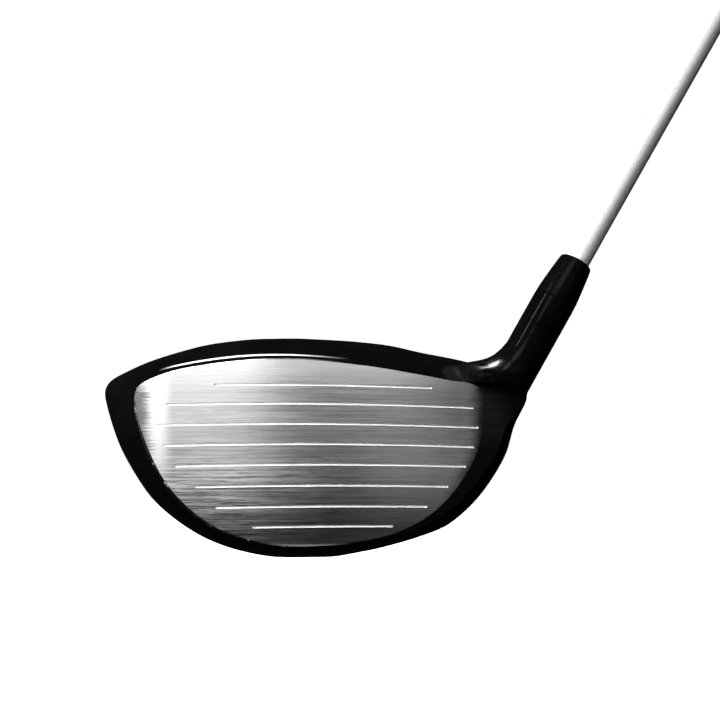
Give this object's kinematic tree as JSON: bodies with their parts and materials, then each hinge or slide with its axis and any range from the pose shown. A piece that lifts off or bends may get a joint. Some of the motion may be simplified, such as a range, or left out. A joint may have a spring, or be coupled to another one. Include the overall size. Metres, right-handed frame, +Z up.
{
  "type": "golf driver",
  "caption": "Right-handed golf driver: hollow high-volume head with a grooved, bulged face, adjustable hosel sleeve and bolt, rear sole weight, tapered shaft and rubber grip.",
  "frame": {"origin": "middle of the flat rest patch on the sole, on the ground under the head, with the club at address", "axes": "+Z up, +X toward the heel side, +Y from the face toward the tail; the shaft leans up toward +X in the plane Y = -1.5 mm"},
  "size_m": [0.6902, 0.1083, 0.9885],
  "materials": {
    "gloss_black": "gloss black lacquer over cast titanium",
    "brushed_face": "horizontally brushed bare titanium",
    "crown_black": "gloss black lacquer over carbon composite",
    "steel": "machined stainless steel",
    "nylon": "moulded nylon",
    "weight": "dark plated tungsten steel",
    "sleeve_black": "gloss black anodised aluminium",
    "ferrule_black": "satin black plastic",
    "shaft_silver": "silver painted graphite",
    "tape": "double-sided paper tape",
    "grip_rubber": "matte black rubber",
    "cap_rubber": "matte black rubber"
  },
  "bodies": {
    "club": {"shaft": "shaft_silver", "grip": "grip_rubber", "grip_tape": "tape", "grip_cap": "cap_rubber", "shaft_sleeve": "sleeve_black", "ferrule": "ferrule_black"},
    "head": {"head_body": "gloss_black", "face_plate": "brushed_face", "crown_panel": "crown_black", "hosel_bolt_washer": "steel", "hosel_bolt_retainer": "nylon"},
    "hosel_bolt": {"hosel_bolt": "steel"},
    "rear_weight": {"rear_weight": "weight"},
    "weight_screw": {"rear_weight_screw": "steel", "rear_weight_clip": "steel"}
  },
  "joints": [
    {"name": "head_slide", "type": "slide", "parent": "club", "child": "head", "axis": [-0.5105, 0, -0.8599], "range_m": [0, 0.045]},
    {"name": "hosel_bolt_turn", "type": "hinge", "parent": "head", "child": "hosel_bolt", "pos_m": [0.05607, -0.0015, 0.03869], "axis": [0.5105, 0, 0.8599], "continuous": true},
    {"name": "rear_weight_slide", "type": "slide", "parent": "head", "child": "rear_weight", "axis": [0, 0.3907, -0.9205], "range_m": [0, 0.01]},
    {"name": "weight_screw_turn", "type": "hinge", "parent": "rear_weight", "child": "weight_screw", "pos_m": [0.003, 0.0638, 0.01217], "axis": [0, 0.3907, -0.9205], "range_deg": [0, 4600]}
  ],
  "couplings": [
    {"joint": "weight_screw_turn", "follows": "rear_weight_slide", "rad_per_m": 7854}
  ]
}
